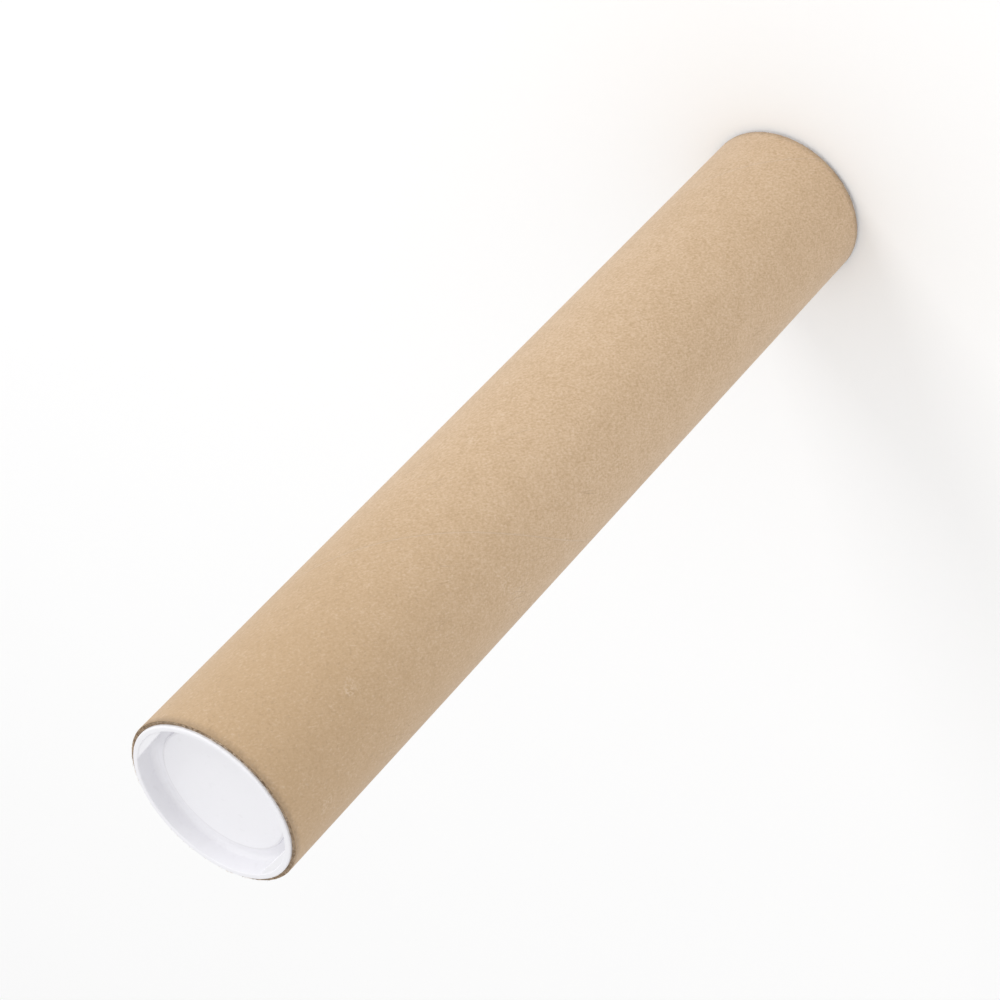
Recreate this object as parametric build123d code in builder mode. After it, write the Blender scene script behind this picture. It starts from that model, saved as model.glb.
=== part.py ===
from build123d import *
import os

# A round mailing tube of spiral-wound board, standing on end, with a recessed plug cap in each end.
# Millimetres. +Z runs along the tube's axis; the origin is the centre of the bottom cap's outer face.

# Board tube
tube_length = 450.0
tube_outer_radius = 41.0
board_thickness = 3.0
cut_edge_radius = 0.4  # the sawn edges are slightly crushed

# Cap, moulded in one piece: a flange that stops on the board, and a plug that grips the bore
board_left_showing = 1.8  # ring of cut board outside the flange
flange_thickness = 1.6
flange_outer_round = 0.8
flange_inner_round = 0.5
bead_clearance = 0.25  # between the grip beads and the bore
bead_height = 0.3
bead_width = 1.2
bead_pitch = 2.2
bead_count = 2
plug_wall = 0.9
floor_thickness = 1.2
floor_depth = 6.6  # raised floor disc, below the end of the board
groove_depth = 1.0  # groove round the floor disc, below the disc
groove_width = 5.3
groove_foot_round = 2.6
floor_edge_round = 0.5
wall_draft = 0.6  # how far the plug's wall leans in over its depth

# Two finger tabs across the mouth of the recess, one at each end of the X axis
tab_reach = 3.0  # from the recess wall to the tab's straight edge
tab_thickness = 1.2
tab_drop = 0.3  # below the flange's face
tab_edge_round = 0.45

bore_radius = tube_outer_radius - board_thickness
flange_radius = tube_outer_radius - board_left_showing
plug_radius = bore_radius - bead_clearance - bead_height
recess_radius = plug_radius - plug_wall
groove_level = -floor_depth - groove_depth
plug_end = groove_level - floor_thickness
groove_outer_radius = recess_radius - wall_draft
floor_radius = groove_outer_radius - groove_width
underside_radius = floor_radius - floor_thickness
underside_round = groove_foot_round + plug_wall
tab_edge_x = recess_radius - tab_reach

tube_bottom = flange_thickness
tube_top = tube_bottom + tube_length

os.makedirs("parts", exist_ok=True)

# The tube: one wound board wall, open at both ends
with BuildPart() as tube:
    with BuildSketch(Plane.XY.offset(tube_bottom)):
        Circle(tube_outer_radius)
        Circle(bore_radius, mode=Mode.SUBTRACT)
    extrude(amount=tube_length)
    fillet(tube.edges().filter_by(GeomType.CIRCLE), cut_edge_radius)

tube.part.label = "tube"
export_step(tube.part, "parts/tube.step")

# The caps are alike: each is turned about the axis, on a section whose Y points out of its end
cap_sections = {
    "bottom_cap": Plane(origin=(0, 0, tube_bottom), x_dir=(1, 0, 0), z_dir=(0, 1, 0)),
    "top_cap": Plane(origin=(0, 0, tube_top), x_dir=(1, 0, 0), z_dir=(0, -1, 0)),
}
cap_profile = [
    # (distance from the axis, height above the board's end, corner radius)
    (0, -floor_depth, 0),
    (floor_radius, -floor_depth, floor_edge_round),
    (floor_radius, groove_level, 0),
    (groove_outer_radius, groove_level, groove_foot_round),
    (recess_radius, flange_thickness, flange_inner_round),
    (flange_radius, flange_thickness, flange_outer_round),
    (flange_radius, 0, 0),
    (plug_radius, 0, 0),
    (plug_radius - wall_draft, plug_end, underside_round),
    (underside_radius, plug_end, 0),
    (underside_radius, -floor_depth - floor_thickness, 0),
    (0, -floor_depth - floor_thickness, 0),
]

for cap_name, section in cap_sections.items():
    with BuildPart() as cap:
        tab_plane = Plane(origin=section.from_local_coords((0, flange_thickness - tab_drop, 0)),
                          x_dir=section.x_dir, z_dir=section.y_dir)
        with BuildSketch(tab_plane):
            Circle(recess_radius + plug_wall / 2)
            Rectangle(2 * tab_edge_x, 2 * tube_outer_radius, mode=Mode.SUBTRACT)
        extrude(amount=-tab_thickness)
        fillet(cap.edges().filter_by(Axis.Y), tab_edge_round)

        with BuildSketch(section):
            with BuildLine():
                FilletPolyline(
                    [(x, y) for x, y, corner in cap_profile],
                    radius=[corner for x, y, corner in cap_profile],
                    close=True,
                )
            make_face()
            bead_points = [(plug_radius, -bead_pitch * (index + 0.5)) for index in range(bead_count)]
            with Locations(bead_points):
                Ellipse(bead_height, bead_width / 2)
        revolve(axis=Axis.Z)

    cap.part.label = cap_name
    export_step(cap.part, f"parts/{cap_name}.step")
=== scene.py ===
import math
import random

import bmesh
import bpy
from mathutils import Matrix, Vector


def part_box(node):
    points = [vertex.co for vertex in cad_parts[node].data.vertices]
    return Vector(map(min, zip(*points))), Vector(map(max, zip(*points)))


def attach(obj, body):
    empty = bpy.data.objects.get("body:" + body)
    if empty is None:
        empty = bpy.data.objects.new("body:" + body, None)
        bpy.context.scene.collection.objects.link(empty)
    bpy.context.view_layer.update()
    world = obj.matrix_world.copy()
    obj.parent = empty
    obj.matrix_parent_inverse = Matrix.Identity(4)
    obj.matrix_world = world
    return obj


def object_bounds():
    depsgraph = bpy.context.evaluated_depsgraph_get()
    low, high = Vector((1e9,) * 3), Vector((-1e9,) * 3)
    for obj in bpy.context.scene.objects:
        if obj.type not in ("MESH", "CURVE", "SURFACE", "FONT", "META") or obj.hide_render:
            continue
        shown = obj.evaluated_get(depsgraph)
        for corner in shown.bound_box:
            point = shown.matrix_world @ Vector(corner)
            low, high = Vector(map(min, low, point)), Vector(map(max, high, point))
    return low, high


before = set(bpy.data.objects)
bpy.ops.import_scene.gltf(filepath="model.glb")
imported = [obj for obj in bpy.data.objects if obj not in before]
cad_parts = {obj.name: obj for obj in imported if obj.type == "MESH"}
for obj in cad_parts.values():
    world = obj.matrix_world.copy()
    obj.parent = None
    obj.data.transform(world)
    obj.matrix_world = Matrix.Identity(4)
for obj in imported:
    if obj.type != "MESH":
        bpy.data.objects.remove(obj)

cad_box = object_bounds()

bl_info = {
    "name": "Mailing tube",
    "version": (1, 0),
    "blender": (4, 5, 0),
    "location": "View3D > Sidebar > Mailing tube",
    "description": "Finishes a cardboard mailing tube with two white plug caps",
    "category": "Object",
}


# ---------------------------------------------------------------- sizes and colours

class TubeLook(bpy.types.PropertyGroup):
    """What the wound board looks like."""
    kraft: bpy.props.FloatVectorProperty(
        name="Kraft", description="Main colour of the board", subtype="COLOR", size=3,
        default=(0.625, 0.452, 0.295))
    kraft_dark: bpy.props.FloatVectorProperty(
        name="Dark kraft", description="Colour of the darker fibres", subtype="COLOR", size=3,
        default=(0.475, 0.322, 0.18))
    kraft_pale: bpy.props.FloatVectorProperty(
        name="Pale kraft", description="Colour of rubbed patches and pale fibres", subtype="COLOR", size=3,
        default=(0.74, 0.60, 0.46))
    cut_edge: bpy.props.FloatVectorProperty(
        name="Cut edge", description="Grey brown of the sawn edge", subtype="COLOR", size=3,
        default=(0.21, 0.14, 0.085))
    seam_lead: bpy.props.FloatProperty(
        name="Seam lead", description="Rise of the winding seam in one turn", unit="LENGTH", default=0.30)
    seam_width: bpy.props.FloatProperty(
        name="Seam width", description="Width of the butted seam", unit="LENGTH", default=0.0007)
    ply: bpy.props.FloatProperty(
        name="Ply", description="Spacing of the ply rings in the cut edge", unit="LENGTH", default=0.0006)
    fuzz_depth: bpy.props.FloatProperty(
        name="Fuzz depth", description="How far the rubbed edge reaches along the tube", unit="LENGTH",
        default=0.0040)


class FibreLook(bpy.types.PropertyGroup):
    """Loose paper fibres on the two sawn edges."""
    count: bpy.props.IntProperty(name="Count", description="Fibres on each end", default=1500)
    length: bpy.props.FloatProperty(
        name="Length", description="Longest fibre", unit="LENGTH", default=0.0024)
    thickness: bpy.props.FloatProperty(
        name="Thickness", description="Fibre diameter at its root", unit="LENGTH", default=0.00009)
    lift: bpy.props.FloatProperty(
        name="Lift", description="How far a fibre may stand off the edge", unit="LENGTH", default=0.0007)
    seed: bpy.props.IntProperty(name="Seed", description="Start of the random numbers", default=7)


class CapLook(bpy.types.PropertyGroup):
    """What the moulded caps look like."""
    white: bpy.props.FloatVectorProperty(
        name="White", description="Colour of the plastic", subtype="COLOR", size=3,
        default=(0.86, 0.855, 0.885))
    roughness: bpy.props.FloatProperty(
        name="Roughness", description="Roughness of the moulded face", default=0.42)
    # Painted shade: the grey ring at this radius darkens the groove round the raised centre disc.
    groove_shade_line: bpy.props.FloatProperty(
        name="Dust line", description="Radius of the shaded line by the groove, as a share of the flange's",
        default=0.766)
    tool_marks: bpy.props.FloatProperty(
        name="Tool marks", description="Spacing of the mould's turning marks", unit="LENGTH", default=0.0011)
    # This colour also paints the shade in the groove round the centre disc.
    grime_and_shade: bpy.props.FloatVectorProperty(
        name="Grime", description="Colour of dust specks and handling marks", subtype="COLOR", size=3,
        default=(0.60, 0.585, 0.60))


class StudioLook(bpy.types.PropertyGroup):
    """Camera, lights and floor."""
    camera_place: bpy.props.FloatVectorProperty(
        name="Camera place", description="Where the camera is", subtype="TRANSLATION", size=3,
        default=(0.0, -1.0578, 1.0215))
    camera_aim: bpy.props.FloatVectorProperty(
        name="Camera aim", description="The point that the camera looks at", subtype="TRANSLATION", size=3,
        default=(0.00033, 0.0, 0.2471))
    camera_roll: bpy.props.FloatProperty(
        name="Camera roll", description="Turn of the camera about its line of sight", subtype="ANGLE",
        default=math.radians(-136.29))
    lens: bpy.props.FloatProperty(
        name="Lens", description="Focal length on a 36 mm sensor, in millimetres", default=108.16)
    key_power: bpy.props.FloatProperty(
        name="Key power", description="Power of the large soft light, in watts", default=11.0)
    ambient: bpy.props.FloatProperty(
        name="Ambient", description="Strength of the even light from all round", default=0.78)
    top_strength: bpy.props.FloatProperty(
        name="Top strength", description="Strength of the broad light from above", default=0.55)
    floor_colour: bpy.props.FloatVectorProperty(
        name="Floor", description="Colour of the floor", subtype="COLOR", size=3,
        default=(0.96, 0.96, 0.96))


# ---------------------------------------------------------------- shader writing

class Value:
    """A shader number that can be written into an expression."""

    def __init__(self, graph, socket):
        self.graph = graph
        self.socket = socket

    def __add__(self, other):
        return self.graph.maths("ADD", self, other)

    def __sub__(self, other):
        return self.graph.maths("SUBTRACT", self, other)

    def __mul__(self, other):
        return self.graph.maths("MULTIPLY", self, other)

    def __truediv__(self, other):
        return self.graph.maths("DIVIDE", self, other)

    def __rsub__(self, other):
        return self.graph.maths("SUBTRACT", other, self)

    def __rtruediv__(self, other):
        return self.graph.maths("DIVIDE", other, self)

    __radd__ = __add__
    __rmul__ = __mul__


class Graph:
    """A node tree, written as plain expressions."""

    def __init__(self, tree):
        self.tree = tree

    def node(self, kind, settings=None, **inputs):
        """Adds a node: its settings first, then a value or a link for each named input."""
        node = self.tree.nodes.new(kind)
        for name, setting in (settings or {}).items():
            setattr(node, name, setting)
        for name, value in inputs.items():
            self.put(node.inputs[name], value)
        return node

    def put(self, socket, value):
        """Links a value to a socket, or sets a plain number or colour on it."""
        if isinstance(value, Value):
            value = value.socket
        if isinstance(value, bpy.types.NodeSocket):
            self.tree.links.new(value, socket)
        elif hasattr(value, "__len__") and len(value) == 3 and socket.type == "RGBA":
            socket.default_value = (*value, 1.0)
        else:
            socket.default_value = value

    def maths(self, operation, *values):
        """A Math node on these values."""
        node = self.node("ShaderNodeMath", {"operation": operation})
        for socket, value in zip(node.inputs, values):
            self.put(socket, value)
        return Value(self, node.outputs[0])

    def step(self, value, start, end):
        """0 before start and 1 past end, with a smooth change between them."""
        node = self.node("ShaderNodeMapRange", {"interpolation_type": "SMOOTHSTEP"}, Value=value)
        node.inputs["From Min"].default_value = start
        node.inputs["From Max"].default_value = end
        return Value(self, node.outputs["Result"])

    def vector(self, x, y, z):
        return self.node("ShaderNodeCombineXYZ", X=x, Y=y, Z=z).outputs["Vector"]

    def mix(self, share, first, second):
        """From the first colour to the second as share goes from 0 to 1."""
        node = self.node("ShaderNodeMix", {"data_type": "RGBA"}, Factor=share)
        self.put(node.inputs[6], first)
        self.put(node.inputs[7], second)
        return node.outputs[2]


class Surface(Graph):
    """The node tree of one material, which knows places in the object's frame."""

    def __init__(self, name):
        self.material = bpy.data.materials.new(name)
        self.material.use_nodes = True
        super().__init__(self.material.node_tree)
        self.shader = self.tree.nodes["Principled BSDF"]
        place = self.node("ShaderNodeTexCoord").outputs["Object"]
        self.place = place
        axes = self.node("ShaderNodeSeparateXYZ", Vector=place).outputs
        self.x, self.y, self.z = (Value(self, axes[axis]) for axis in "XYZ")

    def noise(self, size, detail=2.0, place=None, distortion=0.0):
        """Noise from 0 to 1 with features of this size in metres."""
        node = self.node("ShaderNodeTexNoise", Vector=place or self.place, Scale=1.0 / size, Detail=detail,
                         Distortion=distortion)
        return Value(self, node.outputs["Fac"])

    def specks(self, spacing, radius, share):
        """1 inside round specks: a share of the cells of this spacing hold one."""
        node = self.node("ShaderNodeTexVoronoi", Vector=self.place, Scale=1.0 / spacing)
        chosen = self.node("ShaderNodeSeparateColor", Color=node.outputs["Color"]).outputs["Red"]
        distance = Value(self, node.outputs["Distance"])
        near = 1.0 - self.step(distance, 0.5 * radius / spacing, radius / spacing)
        return near * self.step(Value(self, chosen), 1.0 - share, 1.001 - share)

    def bump(self, height, distance):
        """Raises the surface by height times distance, in metres."""
        node = self.node("ShaderNodeBump", Height=height, Distance=distance)
        self.put(self.shader.inputs["Normal"], node.outputs["Normal"])


def node_size(node):
    """Lowest corner, highest corner and outer radius of a CAD node, in metres."""
    low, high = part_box(node)
    return Vector(low), Vector(high), (high[0] - low[0]) / 2


# ---------------------------------------------------------------- materials

def kraft_material(look):
    """Brown kraft paper: pimpled and mottled, with a winding seam and rubbed, darker sawn edges."""
    low, high, radius = node_size("tube")
    graph = Surface("kraft_board")
    angle = graph.maths("ARCTAN2", graph.x, 0.0 - graph.y)
    round_place = angle * radius
    # The paper's grain runs along the winding
    lean = 2 * math.pi * radius / look.seam_lead
    along = graph.z + round_place / lean
    across = round_place - graph.z * 0.6
    grain_place = graph.vector(along * 0.22, across, 0.0)

    mottle = graph.noise(0.009, 4.0)
    pimples = graph.noise(0.0011, 3.0)
    fibres = graph.noise(0.0007, 3.0, grain_place, 0.4)
    clouds = graph.noise(0.05, 2.0)
    shade = mottle * 0.13 + pimples * 0.45 + fibres * 0.35 + clouds * 0.07
    # The board is a little browner towards its top end
    browner = graph.step(graph.z, 0.45 * high.z, high.z)
    base = graph.mix(browner * 0.62, look.kraft, look.kraft_dark)
    colour = graph.mix(graph.step(shade, 0.60, 0.33) * 0.9, base, look.kraft_dark)
    speckle = graph.step(graph.noise(0.0013, 4.0), 0.56, 0.70) * (0.4 + browner * 0.6)
    colour = graph.mix(speckle * 0.16, colour, look.cut_edge)
    colour = graph.mix(graph.step(shade, 0.52, 0.70) * 0.35, colour, look.kraft_pale)

    # Fine short fibres, dark pin specks and a few whitish scuffs
    hairs = graph.step(graph.noise(0.0022, 1.0, grain_place, 2.0), 0.66, 0.72)
    colour = graph.mix(hairs * 0.24, colour, look.kraft_dark)
    pins = graph.specks(0.012, 0.0004, 0.10)
    colour = graph.mix(pins * 0.7, colour, look.cut_edge)
    scuffs = graph.step(graph.noise(0.022, 5.0), 0.66, 0.76) * graph.step(pimples, 0.45, 0.6)
    colour = graph.mix(scuffs * 0.25, colour, look.kraft_pale)

    # The seam where one strip of paper meets the next
    turns = graph.z / look.seam_lead - angle / (2 * math.pi)
    off_seam = graph.maths("PINGPONG", turns + graph.noise(0.03) * 0.0015, 0.5) * look.seam_lead
    seam = 1.0 - graph.step(off_seam, 0.2 * look.seam_width, look.seam_width)
    lap = 1.0 - graph.step(off_seam, 0.0, 5 * look.seam_width)
    colour = graph.mix(seam * 0.22, colour, look.kraft_pale)

    # Small wrinkles in the outer ply
    wrinkle_line = graph.maths("ABSOLUTE", graph.noise(0.016, 1.0, grain_place, 1.2) - 0.5)
    wrinkles = (1.0 - graph.step(wrinkle_line, 0.0, 0.012)) * graph.step(clouds, 0.60, 0.68)
    colour = graph.mix(wrinkles * 0.25, colour, look.kraft_dark)

    # Rubbed and sawn ends, with the plies showing as rings in the cut
    to_end = graph.maths("MINIMUM", graph.z - low.z, high.z - graph.z)
    ragged = to_end + (graph.noise(0.0016, 3.0) - 0.5) * look.fuzz_depth
    rubbed = 1.0 - graph.step(ragged, 0.0, look.fuzz_depth)
    colour = graph.mix(rubbed * 0.42, colour, look.cut_edge)
    from_axis = graph.maths("SQRT", graph.x * graph.x + graph.y * graph.y)
    plies = graph.maths("SINE", (from_axis + graph.noise(0.004) * 0.0002) * (2 * math.pi / look.ply))
    cut = 1.0 - graph.step(to_end, 0.00005, 0.00045)
    cut_colour = graph.mix(plies * 0.5 + 0.5, look.cut_edge, look.kraft_dark)
    colour = graph.mix(cut * graph.step(fibres, 0.2, 0.6), colour, cut_colour)
    graph.put(graph.shader.inputs["Base Color"], colour)

    graph.put(graph.shader.inputs["Roughness"], 0.74 + pimples * 0.16 - scuffs * 0.1)
    graph.shader.inputs["Specular IOR Level"].default_value = 0.28
    graph.shader.inputs["Sheen Weight"].default_value = 0.15
    graph.shader.inputs["Sheen Roughness"].default_value = 0.6
    height = pimples * 0.6 + fibres * 0.4 + mottle * 0.4 + lap * 0.5 - seam * 0.7 + wrinkles * 0.6
    height = height + cut * plies * 0.5 + rubbed * graph.noise(0.0004, 2.0) * 1.2
    graph.bump(height, 0.00022)
    return graph.material


def fibre_material(look):
    """Loose paper fibres, mixed grey brown and straw."""
    graph = Surface("loose_fibres")
    mixed = graph.step(graph.noise(0.0013, 1.0), 0.35, 0.65)
    graph.put(graph.shader.inputs["Base Color"], graph.mix(mixed, look.cut_edge, look.kraft_pale))
    graph.shader.inputs["Roughness"].default_value = 0.9
    graph.shader.inputs["Specular IOR Level"].default_value = 0.15
    return graph.material


def cap_material(look, cap):
    """White polyethylene: low sheen, faint moulding ripple, painted shade in the groove and a few specks."""
    low, high, radius = node_size(cap)
    graph = Surface(cap + "_plastic")
    from_axis = graph.maths("SQRT", graph.x * graph.x + graph.y * graph.y)
    ripple = graph.noise(0.012, 3.0)
    grain = graph.noise(0.0005, 2.0)
    flow = graph.noise(0.03, 4.0, None, 1.5)
    dust = graph.specks(0.011, 0.0005, 0.16)
    handling = graph.step(graph.noise(0.0035, 4.0), 0.62, 0.74)
    # Painted shade: a grey ring darkens the groove round the raised centre disc.
    groove = 1.0 - graph.step(graph.maths("ABSOLUTE", from_axis - look.groove_shade_line * radius), 0.0, 0.02 * radius)
    # The marks mix real dust specks, handling marks and flow tone with the painted groove shade.
    marks = dust * 0.7 + handling * 0.10 + groove * 0.34 + graph.step(flow, 0.55, 0.75) * 0.05
    graph.put(graph.shader.inputs["Base Color"], graph.mix(marks, look.white, look.grime_and_shade))
    graph.put(graph.shader.inputs["Roughness"], look.roughness + grain * 0.10 + ripple * 0.10 - 0.1)
    graph.shader.inputs["Specular IOR Level"].default_value = 0.42
    graph.shader.inputs["Subsurface Weight"].default_value = 0.12
    graph.shader.inputs["Subsurface Radius"].default_value = (0.002, 0.002, 0.002)
    turning = graph.maths("SINE", from_axis * (2 * math.pi / look.tool_marks))
    graph.bump(ripple * 1.2 + grain * 0.35 + turning * 0.05, 0.00010)
    return graph.material


def finish_node(name, material):
    """Gives a CAD node this material in place of its plain one."""
    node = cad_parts[name]
    node.data.materials.clear()
    node.data.materials.append(material)


# ---------------------------------------------------------------- loose fibres

def add_fibre(mesh, points, thickness):
    """A three-sided tapering strand through these points."""
    rings = []
    for index, point in enumerate(points):
        width = thickness / 2 * (1.0 - 0.7 * index / (len(points) - 1))
        ahead = points[min(index + 1, len(points) - 1)] - points[max(index - 1, 0)]
        side = ahead.orthogonal().normalized()
        turn = Matrix.Rotation(2 * math.pi / 3, 3, ahead)
        corners = [side, turn @ side, turn @ turn @ side]
        rings.append([mesh.verts.new(point + corner * width) for corner in corners])
    for ring, following in zip(rings, rings[1:]):
        for corner in range(3):
            after = (corner + 1) % 3
            mesh.faces.new((ring[corner], ring[after], following[after], following[corner]))
    mesh.faces.new(rings[0][::-1])
    mesh.faces.new(rings[-1])


def fibre_path(look, dice, inner, outer, end, outward):
    """A short curved path over the sawn edge, inside its ring."""
    angle = dice.uniform(0, 2 * math.pi)
    radius = dice.uniform(inner, outer)
    length = look.length * dice.uniform(0.3, 1.0)
    drift = dice.uniform(-0.5, 0.5) * (outer - inner)
    lift = look.lift * dice.random() ** 2
    curl = dice.uniform(-0.4, 0.4) * look.lift
    sense = dice.choice((-1, 1))
    points = []
    for step in range(5):
        share = step / 4
        at = angle + sense * share * length / outer
        out = min(max(radius + drift * share, inner), outer)
        rise = lift * math.sin(math.pi * share * 0.8) + curl * share * (1 - share)
        height = end + outward * max(rise, 0.00003)
        points.append(Vector((out * math.cos(at), out * math.sin(at), height)))
    return points


# ---------------------------------------------------------------- operators

class FinishTube(bpy.types.Operator):
    """Gives the wound board tube its kraft paper finish."""
    bl_idname = "mailing_tube.finish_tube"
    bl_label = "Finish the tube"

    def execute(self, context):
        finish_node("tube", kraft_material(context.scene.tube_look))
        return {"FINISHED"}


class AddFibres(bpy.types.Operator):
    """Adds the loose paper fibres on the tube's two sawn edges."""
    bl_idname = "mailing_tube.add_fibres"
    bl_label = "Add the loose fibres"

    def execute(self, context):
        look = context.scene.fibre_look
        low, high, radius = node_size("tube")
        flange_radius = node_size("top_cap")[2]
        inner = flange_radius + 3 * look.thickness
        outer = radius - 3 * look.thickness
        material = fibre_material(context.scene.tube_look)
        for name, end, outward in (("top_fibres", high.z, 1), ("bottom_fibres", low.z, -1)):
            dice = random.Random(look.seed + outward)
            strands = bmesh.new()
            for strand in range(look.count):
                add_fibre(strands, fibre_path(look, dice, inner, outer, end, outward), look.thickness)
            mesh = bpy.data.meshes.new(name)
            strands.to_mesh(mesh)
            strands.free()
            mesh.materials.append(material)
            fibres = bpy.data.objects.new(name, mesh)
            context.scene.collection.objects.link(fibres)
            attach(fibres, "tube")
        return {"FINISHED"}


class FinishCaps(bpy.types.Operator):
    """Gives the two plug caps their white plastic finish."""
    bl_idname = "mailing_tube.finish_caps"
    bl_label = "Finish the caps"

    def execute(self, context):
        for cap in ("top_cap", "bottom_cap"):
            finish_node(cap, cap_material(context.scene.cap_look, cap))
        return {"FINISHED"}


class SetStage(bpy.types.Operator):
    """Adds the camera, the soft lights, the white surroundings and the floor."""
    bl_idname = "mailing_tube.set_stage"
    bl_label = "Set the stage"

    def execute(self, context):
        look = context.scene.studio_look
        camera = self.add_camera(context, look)
        self.add_lights(context, look, camera)
        self.add_world(context, look)
        self.add_floor(context, look)
        context.scene.view_settings.view_transform = "Standard"
        return {"FINISHED"}

    def add_camera(self, context, look):
        camera = bpy.data.objects.new("camera", bpy.data.cameras.new("camera"))
        context.scene.collection.objects.link(camera)
        camera.data.lens = look.lens
        camera.data.sensor_width = 36.0
        camera.data.clip_start = 0.05
        camera.location = look.camera_place
        sight = Vector(look.camera_aim) - Vector(look.camera_place)
        level = sight.to_track_quat("-Z", "Y").to_matrix()
        roll = Matrix.Rotation(look.camera_roll, 3, "Z")
        camera.rotation_euler = (level @ roll).to_euler()
        context.scene.camera = camera
        return camera

    def add_lights(self, context, look, camera):
        """A large soft key from the camera's upper left, a weak one from its right, and a broad one above."""
        aim = (Vector(cad_box[0]) + Vector(cad_box[1])) / 2
        turn = camera.rotation_euler.to_matrix()
        for name, place, size, power in (
            ("key_light", (-1.3, 1.1, 1.0), 0.9, look.key_power),
            ("fill_light", (1.4, 0.1, 0.9), 1.2, look.key_power * 0.3),
        ):
            light = bpy.data.objects.new(name, bpy.data.lights.new(name, "AREA"))
            context.scene.collection.objects.link(light)
            light.data.size = size
            light.data.energy = power
            light.location = aim + turn @ Vector(place)
            light.rotation_euler = (aim - light.location).to_track_quat("-Z", "Y").to_euler()

        top = bpy.data.objects.new("top_light", bpy.data.lights.new("top_light", "SUN"))
        context.scene.collection.objects.link(top)
        top.data.energy = look.top_strength
        top.data.angle = math.radians(70)

    def add_world(self, context, look):
        """White where the camera sees it, and an even soft light on the object."""
        world = bpy.data.worlds.new("surroundings")
        context.scene.world = world
        world.use_nodes = True
        graph = Graph(world.node_tree)
        seen = graph.node("ShaderNodeLightPath").outputs["Is Camera Ray"]
        strength = graph.node("ShaderNodeMix", Factor=seen, A=look.ambient, B=1.0).outputs["Result"]
        background = world.node_tree.nodes["Background"]
        background.inputs["Color"].default_value = (1.0, 1.0, 1.0, 1.0)
        graph.put(background.inputs["Strength"], strength)

    def add_floor(self, context, look):
        low = Vector(cad_box[0])
        graph = Surface("floor")
        tone = graph.step(graph.noise(0.2, 2.0), 0.2, 0.8)
        pale = tuple(look.floor_colour)
        graph.put(graph.shader.inputs["Base Color"], graph.mix(tone, pale, tuple(c * 0.995 for c in pale)))
        graph.shader.inputs["Roughness"].default_value = 0.9
        sheet = bmesh.new()
        bmesh.ops.create_grid(sheet, x_segments=1, y_segments=1, size=30.0)
        mesh = bpy.data.meshes.new("floor")
        sheet.to_mesh(mesh)
        sheet.free()
        mesh.materials.append(graph.material)
        floor = bpy.data.objects.new("floor", mesh)
        floor.location.z = low.z - 0.0002
        context.scene.collection.objects.link(floor)


class MailingTubePanel(bpy.types.Panel):
    """Lists the steps that make the mailing tube."""
    bl_idname = "VIEW3D_PT_mailing_tube"
    bl_label = "Mailing tube"
    bl_space_type = "VIEW_3D"
    bl_region_type = "UI"
    bl_category = "Mailing tube"

    def draw(self, context):
        for step in STEPS:
            self.layout.operator(step.bl_idname)


LOOKS = {"tube_look": TubeLook, "fibre_look": FibreLook, "cap_look": CapLook, "studio_look": StudioLook}
STEPS = (FinishTube, AddFibres, FinishCaps, SetStage)


def register():
    for kind in (*LOOKS.values(), *STEPS, MailingTubePanel):
        bpy.utils.register_class(kind)
    for name, kind in LOOKS.items():
        setattr(bpy.types.Scene, name, bpy.props.PointerProperty(type=kind))


def unregister():
    for name in LOOKS:
        delattr(bpy.types.Scene, name)
    for kind in reversed((*LOOKS.values(), *STEPS, MailingTubePanel)):
        bpy.utils.unregister_class(kind)


def main():
    register()
    bpy.ops.mailing_tube.finish_tube()
    bpy.ops.mailing_tube.add_fibres()
    bpy.ops.mailing_tube.finish_caps()
    bpy.ops.mailing_tube.set_stage()


if __name__ == "__main__":
    main()
